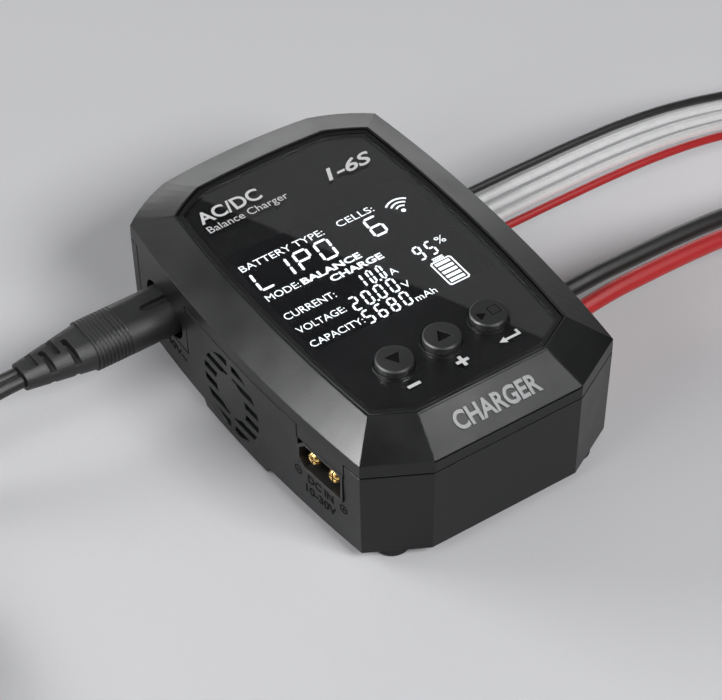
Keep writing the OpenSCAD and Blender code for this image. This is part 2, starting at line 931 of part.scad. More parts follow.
module mains_plug() {
    color([0.13, 0.13, 0.14])
        difference() {
            union() {
                along_x(plug_end_x + 9, ac_y, ac_z, -26.6 - plug_end_x - 9)
                    stadium(plug_body[0], plug_body[1]);
                for (i = [0:8])
                    along_x(plug_end_x + i, ac_y, ac_z, 0.6) stadium(plug_body[0], plug_body[1]);
                along_x(plug_end_x, ac_y, ac_z, 10) stadium(plug_body[0] - 0.6, plug_body[1] - 0.6);
            }
            for (s = [-1, 1])
                x_rod(-34, ac_y + s * 4.3, ac_z, 1.5, 8);
            hull()
                for (x = [-42, -35])
                    translate([x, ac_y - 1, ac_z + 3.2]) cylinder(r = 1.3, h = 3);
        }
}

// Slot across half of the strain relief, its inner end round
module relief_slot(x, side, low, high) {
    hull()
        for (y = [-side * 1, side * 10])
            translate([x, ac_y + y, ac_z + low]) cylinder(r = 0.8, h = high - low, $fn = 20);
}

module mains_strain_relief() {
    color([0.13, 0.13, 0.14])
        difference() {
            hull() {
                along_x(plug_end_x - 0.5, ac_y, ac_z, 0.5) stadium(13.2, 8.2, $fn = 32);
                along_x(relief_end_x, ac_y, ac_z, 0.5) stadium(7.6, 5.4, $fn = 32);
            }
            for (i = [0:3]) {
                x = -63 - i * 3;
                side = i % 2 == 0 ? -1 : 1;
                relief_slot(x, side, 1.4, 6);
                relief_slot(x, side, -6, -1.4);
            }
        }
}

module mains_cord() {
    color([0.1, 0.1, 0.1]) swept_tube(lead_route, cord_w, cord_t, 8);
}

module mains_cord_coil() {
    color([0.1, 0.1, 0.1])
        translate([coil_centre[0], coil_centre[1], 0])
            rotate_extrude($fn = 96)
                translate([coil_inner_r, 0])
                    square([coil_outer_r - coil_inner_r, 2 * cord_w]);
}

module mains_cord_tail() {
    color([0.1, 0.1, 0.1]) swept_tube(tail_route, cord_w, cord_t, 8);
}

// Reusable strap around one side of the coil, on the side away from the charger
module cord_tie() {
    color([0.2, 0.2, 0.2])
        translate([coil_centre[0] - (coil_inner_r + coil_outer_r) / 2, coil_centre[1], 0])
            difference() {
                translate([-10.6, -5, 0]) cube([21.2, 10, 2 * cord_w + 1.3]);
                translate([-9.3, -6, -1]) cube([18.6, 12, 2 * cord_w + 1]);
            }
}

module wall_plug() {
    color([0.13, 0.13, 0.14])
        translate(wall_plug_at) {
            hull() {
                along_x(-29.5, 0, 0, 16) stadium(25, 13.9, $fn = 32);
                along_x(-11.5, 0, 0, 4) stadium(17, 11, $fn = 32);
            }
            hull() {
                along_x(-10.5, 0, 0, 1) stadium(10, 8, $fn = 32);
                along_x(0, 0, 0, 0.5) stadium(7.4, 5, $fn = 32);
            }
        }
}

module wall_plug_blades() {
    color("gold")
        for (s = [-1, 1])
            translate(wall_plug_at + [0, s * 6.35, 0])
                difference() {
                    box([-45.5, -0.75, -3.15], [-29.5, 0.75, 3.15]);
                    translate([-42, -3, 0]) rotate([-90, 0, 0]) cylinder(r = 1.5, h = 6);
                }
}

// ---- charge and balance leads ----

module output_plug() {
    color([0.85, 0.65, 0.1])
        translate([37.6, out_y, out_z])
            difference() {
                union() {
                    mirror([1, 0, 0]) along_x(0, 0, 0, 11.2) mirror([1, 0]) power_outline(14, 6.4, 1.7);
                    along_x(0, 0, 0, 6.4) mirror([1, 0]) power_outline(15.9, 8.2, 2);
                }
                for (s = [-1, 1])
                    x_rod(-12, s * power_pitch / 2, 0, power_pin_r + 0.3, 13);
            }
}

function beside(route, mid, offset) = [for (p = route) [p[0], mid + offset * p[1], p[2]]];

module output_wires() {
    for (s = [-1, 1])
        color(s < 0 ? "red" : "black")
            swept_tube(beside(power_route, out_y, s * power_half), power_wire_d, power_wire_d, 8);
}

module battery_plug() {
    color([0.85, 0.65, 0.1])
        translate([power_lead_end, out_y, 4.15])
            difference() {
                union() {
                    along_x(0, 0, 0, 8) power_outline(15.9, 8.2, 2);
                    along_x(7.9, 0, 0, 8) power_outline(14, 6.4, 1.7);
                }
                for (s = [-1, 1])
                    x_rod(8, s * power_pitch / 2, 0, 1.8, 9);
            }
}

module balance_plug() {
    color("ivory")
        difference() {
            union() {
                box([30, sense_mid_y - 6.1, bal_z - 1.9], [37.2, sense_mid_y + 6.1, bal_z + 1.9]);
                box([37.1, sense_mid_y - 6.4, bal_z - 2.6], [42, sense_mid_y + 6.4, bal_z + 2.6]);
                box([38.8, sense_mid_y - 9.2, bal_z - 1.9], [42, sense_mid_y + 9.2, bal_z + 1.9]);
            }
            for (i = [-2:2])
                box(
                    [29, sense_mid_y + i * 2.5 - 0.7, bal_z - 0.7],
                    [37, sense_mid_y + i * 2.5 + 0.7, bal_z + 0.7]
                );
        }
}

module balance_wires() {
    for (i = [-2:2])
        color(i == -2 ? "red" : i == 2 ? "black" : "white")
            swept_tube(beside(sense_route, sense_mid_y, i * sense_half / 2), sense_wire_d, sense_wire_d, 8);
}

module balance_end_plug() {
    color("ivory")
        difference() {
            box(
                [sense_lead_end, sense_mid_y - 6.4, 0],
                [sense_lead_end + 10, sense_mid_y + 6.4, 5.2]
            );
            box(
                [sense_lead_end + 4, sense_mid_y - 5.8, 0.6],
                [sense_lead_end + 11, sense_mid_y + 5.8, 4.6]
            );
        }
}

bottom_housing();
top_housing();
front_trim_plate();
display_bezel();
glass_panel();
lcd_panel();
lcd_backlight();
control_board();
microcontroller();
switch_bodies();
minus_button();
plus_button();
enter_button();
minus_plunger();
plus_plunger();
enter_plunger();
power_board();
board_screws();
case_screws();
rubber_feet();
insulation_sheet();
fan_frame();
fan_stator();
fan_rotor();
ac_inlet_body();
ac_inlet_pins();
dc_inlet_body();
dc_inlet_pins();
output_socket_body();
output_socket_pins();
balance_header();
balance_pins();
transformer_core();
transformer_winding();
bulk_capacitor();
output_capacitors();
line_choke();
power_inductors();
fuse();
heatsink();
power_transistors();
board_connector();
buzzer();
mains_plug();
mains_strain_relief();
mains_cord();
mains_cord_coil();
mains_cord_tail();
cord_tie();
wall_plug();
wall_plug_blades();
output_plug();
output_wires();
battery_plug();
balance_plug();
balance_wires();
balance_end_plug();
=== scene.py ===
"""Balance battery charger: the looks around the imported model.

Metres, +Z up, the front of the case towards -Y, the origin on the table under the middle of the
case. Camera and cords come first, then the finishes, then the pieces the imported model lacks.
Sizes in the piece makers are millimetres, turned into metres where a mesh is made.
"""

import math

import bmesh
import bpy
import numpy as np
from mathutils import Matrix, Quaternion, Vector


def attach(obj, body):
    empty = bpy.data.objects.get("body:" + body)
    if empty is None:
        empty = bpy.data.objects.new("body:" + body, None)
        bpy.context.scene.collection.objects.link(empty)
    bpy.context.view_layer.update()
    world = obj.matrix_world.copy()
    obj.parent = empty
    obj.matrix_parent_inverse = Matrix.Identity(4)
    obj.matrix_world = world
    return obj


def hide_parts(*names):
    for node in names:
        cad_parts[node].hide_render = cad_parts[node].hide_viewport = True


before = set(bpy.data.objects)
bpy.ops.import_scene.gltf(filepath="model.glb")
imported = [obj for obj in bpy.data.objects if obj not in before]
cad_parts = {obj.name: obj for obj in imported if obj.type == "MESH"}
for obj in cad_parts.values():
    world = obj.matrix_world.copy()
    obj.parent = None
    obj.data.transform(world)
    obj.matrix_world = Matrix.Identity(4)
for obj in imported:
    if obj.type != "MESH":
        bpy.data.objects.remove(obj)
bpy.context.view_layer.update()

MM = 0.001

# ---- camera ----

EYE = Vector((-0.3319, -0.4840, 0.5932))
LOOK_AT = Vector((-0.0076, -0.0083, 0.0206))
ROLL = math.radians(-0.4)
LENS_MM = 175.3
SENSOR_MM = 36

camera_data = bpy.data.cameras.new("camera")
camera_data.lens = LENS_MM
camera_data.sensor_width = SENSOR_MM
camera_data.clip_start = 0.01
camera = bpy.data.objects.new("camera", camera_data)
camera.location = EYE
camera.rotation_mode = "QUATERNION"
camera.rotation_quaternion = (LOOK_AT - EYE).to_track_quat("-Z", "Y") @ Quaternion((0, 0, 1), ROLL)
bpy.context.scene.collection.objects.link(camera)
bpy.context.scene.camera = camera


# ---- mesh makers ----

def add_mesh(name, points, faces, smooth=False, run=None):
    """Object at the origin whose mesh has these points, in millimetres, and faces; normals are
    turned outwards after points that coincide are merged. run is the distance along a cord at
    each point, in millimetres, kept in metres as the attribute run."""
    mesh = bpy.data.meshes.new(name)
    mesh.from_pydata((np.asarray(points, float) * MM).tolist(), [], faces)
    if run is not None:
        along = mesh.attributes.new("run", "FLOAT", "POINT")
        along.data.foreach_set("value", np.asarray(run, np.float32) * MM)
    made = bpy.data.objects.new(name, mesh)
    bpy.context.scene.collection.objects.link(made)
    work = bmesh.new()
    work.from_mesh(mesh)
    bmesh.ops.remove_doubles(work, verts=work.verts, dist=1e-7)
    bmesh.ops.recalc_face_normals(work, faces=work.faces)
    work.to_mesh(mesh)
    work.free()
    mesh.polygons.foreach_set("use_smooth", np.full(len(mesh.polygons), smooth))
    return made


def grid_quads(rows, columns, around=True):
    """Quads of a grid of points stored row after row; around joins the last column to the first."""
    i = np.arange(rows - 1)[:, None] * columns
    j = np.arange(columns if around else columns - 1)[None, :]
    k = (j + 1) % columns
    return np.stack([i + j, i + k, i + columns + k, i + columns + j], -1).reshape(-1, 4)


def capped_tube(rings):
    """Points and faces of a tube through rings, an array (ring, point, 3), with a flat cap at each
    end."""
    rows, columns = rings.shape[:2]
    ends = [list(range(columns)), list(range((rows - 1) * columns, rows * columns))]
    return rings.reshape(-1, 3), grid_quads(rows, columns).tolist() + ends


def smooth_route(points, per_span=6):
    """Curve through the points: each span is the cubic whose end tangents are half the step from
    the point before to the point after."""
    p = np.asarray(points, float)
    before = np.vstack([2 * p[0] - p[1], p[:-1]])
    after = np.vstack([p[1:], 2 * p[-1] - p[-2]])
    m = (after - before) / 2
    t = np.linspace(0, 1, per_span, endpoint=False)[:, None, None]
    spans = (
        (2 * t**3 - 3 * t**2 + 1) * p[:-1] + (t**3 - 2 * t**2 + t) * m[:-1]
        + (3 * t**2 - 2 * t**3) * p[1:] + (t**3 - t**2) * m[1:]
    )
    return np.vstack([spans.transpose(1, 0, 2).reshape(-1, 3), p[-1:]])


def distance_along(path):
    """Distance from the first point of the path to each point of it."""
    steps = np.linalg.norm(np.diff(path, axis=0), axis=1)
    return np.concatenate([[0], np.cumsum(steps)])


def sweep(path, section, twist=0.0):
    """Rings of a section carried along a path. The section's first axis lies along the level
    direction across the path and its second axis points up from it; twist turns both about the
    path. section is (point, 2), or (path point, point, 2) where it changes along the way."""
    heading = np.gradient(path, axis=0)
    heading /= np.linalg.norm(heading, axis=1)[:, None]
    side = np.cross([0, 0, 1], heading)
    side /= np.linalg.norm(side, axis=1)[:, None]
    up = np.cross(heading, side)
    turn = np.broadcast_to(twist, len(path))[:, None]
    across = np.cos(turn) * side + np.sin(turn) * up
    above = np.cos(turn) * up - np.sin(turn) * side
    section = np.broadcast_to(section, (len(path),) + np.shape(section)[-2:])
    return (
        path[:, None] + section[..., :1] * across[:, None] + section[..., 1:] * above[:, None]
    )


def smooth_step(t):
    """0 before 0, 1 after 1, and 3t^2 - 2t^3 between."""
    t = np.clip(t, 0, 1)
    return t * t * (3 - 2 * t)


def round_section(radius, count=16):
    turn = np.arange(count) * 2 * np.pi / count
    return radius * np.stack([np.cos(turn), np.sin(turn)], 1)


def filled_curve(curve):
    """Points and faces of the mesh that a flat curve or a text fills."""
    shown = bpy.data.objects.new(curve.name, curve)
    bpy.context.scene.collection.objects.link(shown)
    bpy.context.view_layer.update()
    mesh = bpy.data.meshes.new_from_object(shown)
    points = np.empty(len(mesh.vertices) * 3)
    mesh.vertices.foreach_get("co", points)
    faces = [list(face.vertices) for face in mesh.polygons]
    bpy.data.objects.remove(shown)
    bpy.data.meshes.remove(mesh)
    return points.reshape(-1, 3), faces


# ---- cords ----

CORD_WIDTH = 6
CORE_RADIUS = 1.7
CORD_SIDES = 28
LEAD_ROUTE = [
    (-75.5, 31.5, 17.9), (-80, 31.5, 17.8), (-86, 31.5, 17.2), (-92, 31.5, 15.8),
    (-98, 31.5, 13.6), (-104, 31.5, 11), (-110, 31.5, 8.2), (-116, 31.5, 5.8),
    (-122, 31.5, 4.1), (-128, 31.5, 3.3), (-134, 31.5, 3), (-143, 31.5, 3),
    (-152, 31.5, 3), (-161, 31.5, 3),
]
TAIL_ROUTE = [
    (-161, 28.5, 9), (-167, 28.5, 9), (-173, 28.5, 9), (-179, 28.5, 9), (-185, 28.5, 8.9),
    (-191, 28.5, 8.4), (-197, 28.5, 7.6), (-203, 28.5, 7.1), (-209, 28.5, 7),
]
# in the wires' routes the middle number is the share of a wire's offset from its bundle's middle
POWER_ROUTE = [
    (44, 1, 16), (50, 0.93, 16.6), (56, 0.9, 17), (64, 0.88, 17), (72, 0.87, 16.9),
    (80, 0.87, 16.6), (88, 0.87, 16), (96, 0.87, 15), (104, 0.88, 13.6), (112, 0.88, 11.8),
    (120, 0.9, 9.8), (128, 0.92, 7.8), (136, 0.94, 6.1), (144, 0.97, 4.9), (151, 0.99, 4.3),
    (158, 1, 4.15),
]
SENSE_ROUTE = [
    (42, 1, 18.5), (50, 1, 18.5), (58, 1, 18.5), (66, 1, 18.4), (74, 1, 18.3), (82, 1, 18),
    (90, 1, 17.5), (98, 1, 16.6), (106, 1, 15.3), (114, 1, 13.5), (122, 1, 11.3),
    (130, 1, 8.8), (138, 0.99, 6.4), (146, 0.93, 4.4), (153, 0.78, 3.1), (159, 0.64, 2.6),
]
POWER_MIDDLE = -19.6
POWER_OFFSET = 3.6
POWER_WIRE = 4.4
SENSE_MIDDLE = 15.8
SENSE_PITCH = 3.75
SENSE_WIRE = 2.1

COIL_CENTRE = (-161, -7.5)
COIL_TURNS = 5
POINTS_PER_TURN = 60
FIRST_RADIUS = 39.0
RADIUS_CHANGES = ((-6, 0.6), (-6, 1.6), (3, 2.6), (6, 3.6))  # millimetres, and the turn it starts at
CHANGE_TURNS = 0.4
FIRST_LAYER = 3
LAYER_RISE = 6
CLIMB_START = 2.3
CLIMB_TURNS = 0.3

LEAD_RUN = 60
STAND_FROM_X = -90
LIE_BEFORE_END = 44
STAND_OVER = 34


def coil_path():
    """Five turns, anticlockwise from above, starting and ending at the north point: three on the
    table at radii 39, 33 and 27, then, once the cord has climbed a layer, two at 30 and 36. Each
    change of radius takes 0.4 of a turn."""
    turns = np.linspace(0, COIL_TURNS, COIL_TURNS * POINTS_PER_TURN + 1)
    radius = np.full_like(turns, FIRST_RADIUS)
    for change, start in RADIUS_CHANGES:
        radius += change * smooth_step((turns - start) / CHANGE_TURNS)
    height = FIRST_LAYER + LAYER_RISE * smooth_step((turns - CLIMB_START) / CLIMB_TURNS)
    angle = 2 * np.pi * turns
    return np.stack([
        COIL_CENTRE[0] - radius * np.sin(angle), COIL_CENTRE[1] + radius * np.cos(angle), height,
    ], 1)


def make_mains_cord():
    """Flat twin cord: two round cores side by side, which the section joins where they meet. It
    lies flat at both ends and stands on edge in the coil, as such a cord does when wound."""
    coil = coil_path()
    path = np.vstack([smooth_route(LEAD_ROUTE)[:-1], coil, smooth_route(TAIL_ROUTE)[1:]])
    run = distance_along(path)
    offset = CORD_WIDTH / 2 - CORE_RADIUS
    turn = np.arange(CORD_SIDES) * 2 * np.pi / CORD_SIDES
    reach = offset * np.abs(np.cos(turn)) + np.sqrt(CORE_RADIUS**2 - (offset * np.sin(turn)) ** 2)
    section = np.stack([reach * np.cos(turn), reach * np.sin(turn)], 1)
    standing = smooth_step((STAND_FROM_X - path[:, 0]) / STAND_OVER)
    lying = smooth_step((run - run[-1] + LIE_BEFORE_END) / STAND_OVER)
    stand = np.where(run < LEAD_RUN, standing, 1 - lying)
    points, faces = capped_tube(sweep(path, section, stand * np.pi / 2))
    run_at_points = np.repeat(run, len(section))
    made = add_mesh("mains_cord_flat", points, faces, smooth=True, run=run_at_points)
    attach(made, "mains_lead")
    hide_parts("mains_cord", "mains_cord_coil", "mains_cord_tail")
    return made


def make_wire(name, route, middle, offset, diameter, node, body):
    """Round wire along a shared route, offset sideways from the middle of its bundle."""
    path = smooth_route([(x, middle + offset * share, z) for x, share, z in route])
    run = distance_along(path)
    rings = sweep(path, round_section(diameter / 2))
    points, faces = capped_tube(rings)
    made = add_mesh(name, points, faces, smooth=True, run=np.repeat(run, rings.shape[1]))
    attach(made, body)
    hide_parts(node)
    return made


mains_cord = make_mains_cord()
power_wires = {
    colour: make_wire(
        f"charge_wire_{colour}", POWER_ROUTE, POWER_MIDDLE, side * POWER_OFFSET, POWER_WIRE,
        "output_wires", "charge_lead",
    )
    for colour, side in (("red", -1), ("black", 1))
}
sense_wires = [
    make_wire(
        f"balance_wire_{i + 3}", SENSE_ROUTE, SENSE_MIDDLE, i * SENSE_PITCH, SENSE_WIRE,
        "balance_wires", "balance_lead",
    )
    for i in range(-2, 3)
]


# ---- floor and light ----

FLOOR_HALF = 2500
FLOOR_COLOUR = (0.86, 0.86, 0.88, 1)
FLOOR_ROUGHNESS = 0.85
SKY_COLOUR = (0.9, 0.93, 1, 1)
SKY_STRENGTH = 0.06
# Lights are name, place, point they face, size and power in watts
ROOM_LIGHTS = [
    ("key", (0.25, -1.0, 0.95), (0, 0, 0), (0.7, 0.5), 11),
    ("fill_left", (-1.1, -0.1, 0.6), (0, 0, 0.02), (0.6, 0.6), 3.2),
    ("rim_back", (-0.9, 1.1, 0.6), (0, 0, 0.02), (0.8, 0.4), 9),
]
# for the front plate, for the left slope, and at a low angle for the rear and right slopes
MIRROR_CARDS = [
    ("front_card", (0.13, -0.11, 0.33), (0, -0.05, 0.034), (0.13, 0.07), 0.34),
    ("side_card", (-0.115, 0.002, 0.135), (-0.034, -0.05, 0.034), (0.06, 0.06), 0.42),
    ("low_strip", (0.27, 0.44, 0.07), (0, 0, 0.03), (0.5, 0.1), 0.7),
]
GLASS_CARD = ("glass_card", (0.7736, 0.8102, 0.8), (0.7736, 0.8102, 0), (0.7, 0.7), 0.42)
GLASS_CARD_TURN = math.atan2(0.4178, 0.9086)


def make_stage():
    """Pale floor, wide enough to fill every view."""
    half = FLOOR_HALF
    corners = [(-half, -half, 0), (half, -half, 0), (half, half, 0), (-half, half, 0)]
    floor = add_mesh("floor", corners, [[0, 1, 2, 3]])
    paper = bpy.data.materials.new("floor_paper")
    floor.data.materials.append(paper)
    paper.use_nodes = True
    shader = paper.node_tree.nodes["Principled BSDF"]
    shader.inputs["Base Color"].default_value = FLOOR_COLOUR
    shader.inputs["Roughness"].default_value = FLOOR_ROUGHNESS


def add_softbox(name, place, aim, size, power, mirrored_only=False):
    """Rectangular studio light at place, facing the point aim; a mirrored_only one shows in
    glossy surfaces and lights nothing else."""
    data = bpy.data.lights.new(name, "AREA")
    data.shape = "RECTANGLE"
    data.size, data.size_y = size
    data.energy = power
    light = bpy.data.objects.new(name, data)
    light.location = place
    light.rotation_euler = (Vector(aim) - Vector(place)).to_track_quat("-Z", "Y").to_euler()
    light.visible_camera = False
    light.visible_diffuse = not mirrored_only
    bpy.context.scene.collection.objects.link(light)
    return light


def make_lights():
    world = bpy.data.worlds.new("studio")
    world.use_nodes = True
    background = world.node_tree.nodes["Background"]
    background.inputs["Color"].default_value = SKY_COLOUR
    background.inputs["Strength"].default_value = SKY_STRENGTH
    bpy.context.scene.world = world
    for light in ROOM_LIGHTS:
        add_softbox(*light)
    for card in MIRROR_CARDS:
        add_softbox(*card, mirrored_only=True)
    # its near edge is what crosses the glass as a straight line
    card = add_softbox(*GLASS_CARD)
    card.rotation_euler = (0, 0, GLASS_CARD_TURN)


make_stage()
make_lights()
bpy.context.scene.view_settings.view_transform = "Standard"


# ---- shader groups ----

def add_node(tree, kind, sockets=None, **settings):
    """Node with its settings; sockets maps an input's name or number to a value or to an output."""
    made = tree.nodes.new(kind)
    for key, value in settings.items():
        setattr(made, key, value)
    for key, value in (sockets or {}).items():
        if isinstance(value, bpy.types.NodeSocket):
            tree.links.new(value, made.inputs[key])
        else:
            made.inputs[key].default_value = value
    return made


def new_group(name, inputs, outputs):
    """Shader group; inputs are (name, kind, value) and outputs (name, kind)."""
    group = bpy.data.node_groups.new(name, "ShaderNodeTree")
    for label, kind, value in inputs:
        made = group.interface.new_socket(label, in_out="INPUT", socket_type="NodeSocket" + kind)
        made.default_value = value
    for label, kind in outputs:
        group.interface.new_socket(label, in_out="OUTPUT", socket_type="NodeSocket" + kind)
    given = group.nodes.new("NodeGroupInput").outputs
    return group, given, group.nodes.new("NodeGroupOutput").inputs


def link_all(tree, inputs, values):
    """Links each of the outputs in values to the input of that name."""
    for name, output in values.items():
        tree.links.new(output, inputs[name])


def object_place(tree):
    return add_node(tree, "ShaderNodeTexCoord").outputs["Object"]


def combine(tree, operation, first, second):
    return add_node(tree, "ShaderNodeMath", {0: first, 1: second}, operation=operation).outputs[0]


def mix_colours(tree, factor, first, second):
    return add_node(
        tree, "ShaderNodeMix", {0: factor, 6: first, 7: second}, data_type="RGBA"
    ).outputs[2]


def map_range(tree, value, low, high, to_low, to_high):
    return add_node(tree, "ShaderNodeMapRange", {
        0: value, 1: low, 2: high, 3: to_low, 4: to_high,
    }).outputs[0]


def noise(tree, vector, scale, detail=2.0, roughness=0.5):
    return add_node(tree, "ShaderNodeTexNoise", {
        "Vector": vector, "Scale": scale, "Detail": detail, "Roughness": roughness,
    }).outputs["Fac"]


def bump(tree, height, depth, **more):
    """Normal of a surface raised by height; depth is millimetres."""
    return add_node(
        tree, "ShaderNodeBump", {"Height": height, "Distance": depth * MM, **more}
    ).outputs["Normal"]


def make_grain_group():
    """Spark-eroded moulding: fine noise for the height, and a broad slow noise that drifts the
    colour between two shades and the roughness between two values."""
    group, given, out = new_group(
        "moulded_grain",
        [("Shade", "Color", (0, 0, 0, 1)), ("Other Shade", "Color", (0, 0, 0, 1)),
         ("Low Roughness", "Float", 0.4), ("High Roughness", "Float", 0.5),
         ("Grain Scale", "Float", 2500), ("Drift Scale", "Float", 60)],
        [("Color", "Color"), ("Roughness", "Float"), ("Height", "Float")],
    )
    place = object_place(group)
    fine = noise(group, place, given["Grain Scale"], 3, 0.6)
    drift = noise(group, place, given["Drift Scale"], 4, 0.55)
    amount = map_range(group, combine(group, "MULTIPLY", fine, drift), 0.12, 0.42, 0, 1)
    link_all(group, out, {
        "Color": mix_colours(group, amount, given["Shade"], given["Other Shade"]),
        "Roughness": map_range(group, drift, 0.3, 0.7, given["Low Roughness"], given["High Roughness"]),
        "Height": fine,
    })
    return group


def make_edge_group():
    """Rounded edge light: the normal blended across nearby edges, and a mask that rises where it
    turns away from the true one; plastic uses the mask to paint a highlight on the edges."""
    group, given, out = new_group(
        "rounded_edge", [("Radius", "Float", 0.0002)], [("Normal", "Vector"), ("Edge Highlight", "Float")]
    )
    rounded = add_node(group, "ShaderNodeBevel", {"Radius": given["Radius"]}, samples=6).outputs[0]
    true = add_node(group, "ShaderNodeNewGeometry").outputs["Normal"]
    facing = add_node(
        group, "ShaderNodeVectorMath", {0: rounded, 1: true}, operation="DOT_PRODUCT"
    ).outputs["Value"]
    link_all(group, out, {"Normal": rounded, "Edge Highlight": map_range(group, facing, 0.999, 0.93, 0, 1)})
    return group


def make_scuff_group():
    """Handling marks: noise stretched along one axis, cut to thin streaks."""
    group, given, out = new_group(
        "scuffs", [("Scale", "Float", 90), ("Stretch", "Vector", (1, 12, 12))], [("Mask", "Float")]
    )
    stretched = add_node(
        group, "ShaderNodeVectorMath", {0: object_place(group), 1: given["Stretch"]},
        operation="MULTIPLY",
    ).outputs[0]
    streak = noise(group, stretched, given["Scale"], 5, 0.7)
    group.links.new(map_range(group, streak, 0.62, 0.72, 0, 1), out["Mask"])
    return group


GRAIN = make_grain_group()
EDGE = make_edge_group()
SCUFFS = make_scuff_group()
finishes = {}


# ---- finishes ----

def new_finish(name, **plain):
    """Material kept under its name in finishes; uniform values are set on the shader's own
    sockets. Gives its node tree and its shader."""
    material = bpy.data.materials.new(name)
    material.use_nodes = True
    finishes[name] = material
    tree = material.node_tree
    shader = tree.nodes["Principled BSDF"]
    for key, value in plain.items():
        shader.inputs[key.replace("_", " ")].default_value = value
    return tree, shader


def grey(value, tint=0.0):
    """Neutral shade; tint leans it towards blue."""
    return (value * (1 - tint), value * (1 - tint / 2), value, 1)


def shade(colour, factor):
    return tuple(min(1, channel * factor) for channel in colour[:3]) + (1,)


def plastic(
    name, colour, roughness=0.45, grain=2600, depth=0.012, radius=0.2, drift=55, spread=0.25,
    edge=1.6, **plain,
):
    """Moulded plastic or rubber: grain in the height, drift in shade and roughness, and edges
    that are slightly rounded and paler, the paleness a painted highlight. depth and radius are
    millimetres."""
    tree, shader = new_finish(name, **plain)
    surface = add_node(tree, "ShaderNodeGroup", node_tree=GRAIN)
    for key, value in (
        ("Shade", shade(colour, 1 - spread)), ("Other Shade", shade(colour, 1 + spread)),
        ("Low Roughness", roughness - 0.05), ("High Roughness", roughness + 0.07),
        ("Grain Scale", grain), ("Drift Scale", drift),
    ):
        surface.inputs[key].default_value = value
    colour_out, base = surface.outputs["Color"], {}
    if radius:
        rim = add_node(tree, "ShaderNodeGroup", {"Radius": radius * MM}, node_tree=EDGE)
        # painted highlight: the colour is made paler along the rounded edges, by the factor edge
        colour_out = mix_colours(tree, rim.outputs["Edge Highlight"], colour_out, shade(colour, edge))
        base = {"Normal": rim.outputs["Normal"]}
    link_all(tree, shader.inputs, {
        "Base Color": colour_out, "Roughness": surface.outputs["Roughness"],
        "Normal": bump(tree, surface.outputs["Height"], depth, **base),
    })


def plated(name, colour, tarnish, roughness=0.22):
    """Plated or drawn metal: streaks along the part roughen it and darken it a little."""
    tree, shader = new_finish(name, Metallic=1.0)
    marks = add_node(tree, "ShaderNodeGroup", {"Scale": 160, "Stretch": (1, 14, 14)}, node_tree=SCUFFS)
    rim = add_node(tree, "ShaderNodeGroup", {"Radius": 0.1 * MM}, node_tree=EDGE)
    streak = marks.outputs["Mask"]
    link_all(tree, shader.inputs, {
        "Base Color": mix_colours(tree, streak, colour, tarnish),
        "Roughness": map_range(tree, streak, 0, 1, roughness, roughness + 0.25),
        "Normal": rim.outputs["Normal"],
    })


def board_finish(name):
    """Green solder mask over copper tracks: thin lines of a brick pattern, paler where copper
    lies under the mask, with a faint step in height."""
    tree, shader = new_finish(name, Coat_Weight=0.4, Coat_Roughness=0.15)
    place = object_place(tree)
    tracks = add_node(tree, "ShaderNodeTexBrick", {
        "Vector": place, "Color1": (0, 0, 0, 1), "Color2": (0.1, 0.1, 0.1, 1), "Mortar": (1, 1, 1, 1),
        "Scale": 160, "Mortar Size": 0.09, "Brick Width": 1.3, "Row Height": 0.5,
    }, offset=0.37, squash=0.6).outputs["Color"]
    cloud = noise(tree, place, 90, 3)
    copper = combine(tree, "MULTIPLY", tracks, cloud)
    link_all(tree, shader.inputs, {
        "Base Color": mix_colours(tree, copper, (0.004, 0.05, 0.022, 1), (0.05, 0.22, 0.07, 1)),
        "Roughness": map_range(tree, cloud, 0, 1, 0.3, 0.45),
        "Normal": bump(tree, tracks, 0.03),
    })


def winding_finish(name, groove_shade, light):
    """Wound wire: a wave along the height gives the turns their depth in the bump, and paints shade
    into the grooves between them.
    """
    tree, shader = new_finish(name, Metallic=1.0)
    place = object_place(tree)
    turns = add_node(
        tree, "ShaderNodeTexWave", {"Vector": place, "Scale": 500, "Distortion": 0.4, "Detail": 1.0},
        bands_direction="Z",
    ).outputs["Fac"]
    cloud = noise(tree, place, 300, 2)
    link_all(tree, shader.inputs, {
        # painted shade: the wave darkens the copper between the turns
        "Base Color": mix_colours(tree, turns, groove_shade, light),
        "Roughness": map_range(tree, cloud, 0, 1, 0.22, 0.42),
        "Normal": bump(tree, turns, 0.05),
    })


def weave_finish(name, colour):
    """Woven strap: two crossed waves make the over and under of the yarns, in the bump and as painted
    shade and highlight in the colour.
    """
    tree, shader = new_finish(name, Sheen_Weight=0.3, Sheen_Roughness=0.4)
    place = object_place(tree)
    warp, weft = (
        add_node(
            tree, "ShaderNodeTexWave", {"Vector": place, "Scale": 300}, bands_direction=axis
        ).outputs["Fac"]
        for axis in ("Y", "Z")
    )
    yarn_relief_and_shade = combine(tree, "MULTIPLY", warp, weft)
    fuzz = noise(tree, place, 3000, 3)
    link_all(tree, shader.inputs, {
        # painted shade and highlight: the yarns darken where they pass under and turn pale where they
        # rise over
        "Base Color": mix_colours(tree, yarn_relief_and_shade, shade(colour, 0.5), shade(colour, 1.5)),
        "Roughness": map_range(tree, fuzz, 0, 1, 0.75, 0.95),
        "Normal": bump(tree, combine(tree, "ADD", yarn_relief_and_shade, fuzz), 0.1),
    })


